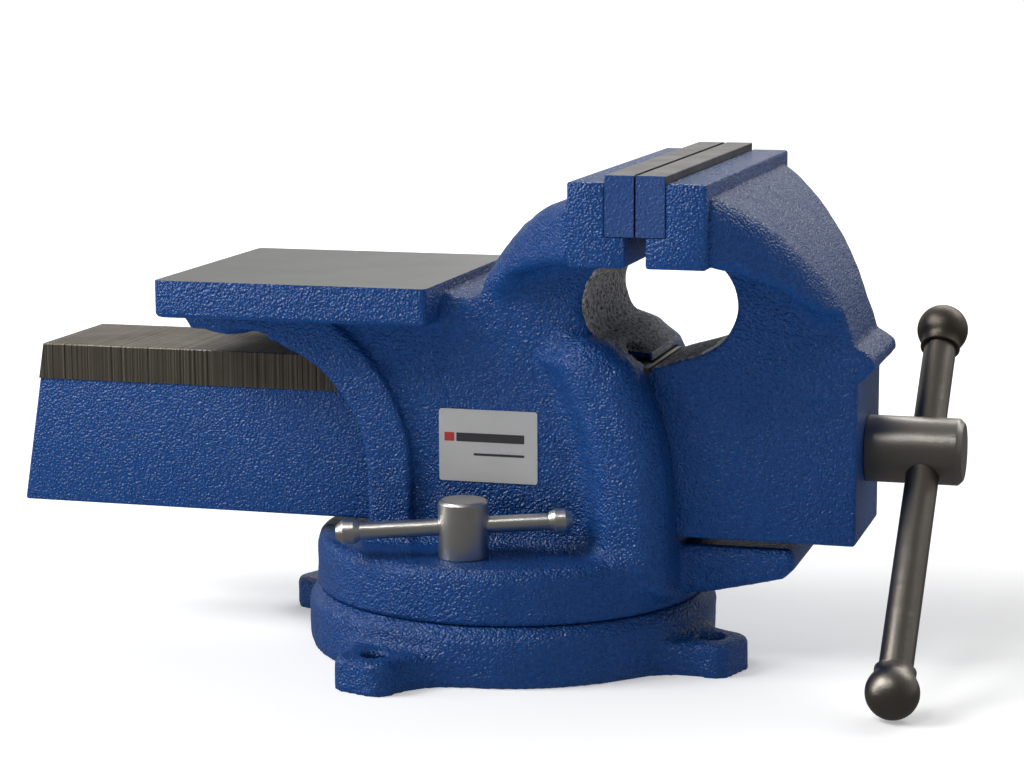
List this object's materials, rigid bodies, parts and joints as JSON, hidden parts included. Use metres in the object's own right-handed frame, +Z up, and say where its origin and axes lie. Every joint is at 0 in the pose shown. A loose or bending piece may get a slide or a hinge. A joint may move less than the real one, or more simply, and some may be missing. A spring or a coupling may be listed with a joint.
{
  "type": "bench vise",
  "caption": "Swivelling bench vise with an anvil, serrated jaw plates, a screw-driven box slide and a bolted round base.",
  "frame": {"origin": "on the swivel axis, at the underside of the base", "axes": "+X along the screw towards the handle, +Z up, -Y the side with the label"},
  "size_m": [0.3549, 0.1898, 0.1812],
  "materials": {
    "blue_hammer_paint": "glossy deep blue hammered paint on rough cast iron",
    "jaw_plate_steel": "ground and serrated steel, painted at the ends",
    "turned_steel": "turned steel with a thin oil film",
    "satin_steel": "bright satin steel",
    "black_steel": "black oxide steel",
    "bare_iron": "machined grey iron",
    "label_silver": "matt silver foil with plain bars"
  },
  "bodies": {
    "base": {"swivel_base": "blue_hammer_paint"},
    "body": {"vise_body": "blue_hammer_paint", "jaw_plate_fixed": "jaw_plate_steel", "jaw_plate_screws_fixed": "black_steel", "main_nut": "bare_iron", "nut_bolt": "black_steel", "nut_washer": "satin_steel", "clamp_nut_left": "black_steel", "clamp_nut_right": "black_steel", "nameplate": "label_silver"},
    "slide": {"moving_jaw": "blue_hammer_paint", "jaw_plate_moving": "jaw_plate_steel", "jaw_plate_screws_moving": "black_steel"},
    "screw": {"lead_screw": "turned_steel", "return_spring": "black_steel", "spring_washer": "satin_steel", "split_pin": "satin_steel"},
    "handle": {"handle_bar": "turned_steel", "handle_knob_upper": "turned_steel", "handle_knob_lower": "turned_steel"},
    "lock_left": {"lock_bolt_left": "satin_steel"},
    "lock_right": {"lock_bolt_right": "satin_steel"},
    "lock_handle_left": {"lock_bar_left": "satin_steel", "lock_bar_knobs_left": "satin_steel"},
    "lock_handle_right": {"lock_bar_right": "satin_steel", "lock_bar_knobs_right": "satin_steel"}
  },
  "joints": [
    {"name": "swivel", "type": "hinge", "parent": "base", "child": "body", "pos_m": [0, 0, 0.02], "axis": [0, 0, 1], "continuous": true},
    {"name": "jaw_slide", "type": "slide", "parent": "body", "child": "slide", "axis": [1, 0, 0], "range_m": [0, 0.15]},
    {"name": "screw_turn", "type": "hinge", "parent": "slide", "child": "screw", "pos_m": [0.12, 0, 0.07835], "axis": [1, 0, 0], "range_deg": [0, 10800]},
    {"name": "handle_slide", "type": "slide", "parent": "screw", "child": "handle", "axis": [0, 0.7361, 0.6769], "range_m": [-0.033, 0.078]},
    {"name": "lock_turn_left", "type": "hinge", "parent": "body", "child": "lock_left", "pos_m": [-0.003, -0.053, 0.042], "axis": [0, 0, 1], "range_deg": [-20, 0]},
    {"name": "lock_turn_right", "type": "hinge", "parent": "body", "child": "lock_right", "pos_m": [-0.003, 0.053, 0.042], "axis": [0, 0, 1], "range_deg": [0, 20]},
    {"name": "lock_bar_slide_left", "type": "slide", "parent": "lock_left", "child": "lock_handle_left", "axis": [0.9578, 0.2837, 0.0471], "range_m": [-0.018, 0]},
    {"name": "lock_bar_slide_right", "type": "slide", "parent": "lock_right", "child": "lock_handle_right", "axis": [0.9578, -0.2837, 0.0471], "range_m": [-0.018, 0]}
  ],
  "couplings": [
    {"joint": "jaw_slide", "follows": "screw_turn", "m_per_rad": 0.00079577}
  ]
}
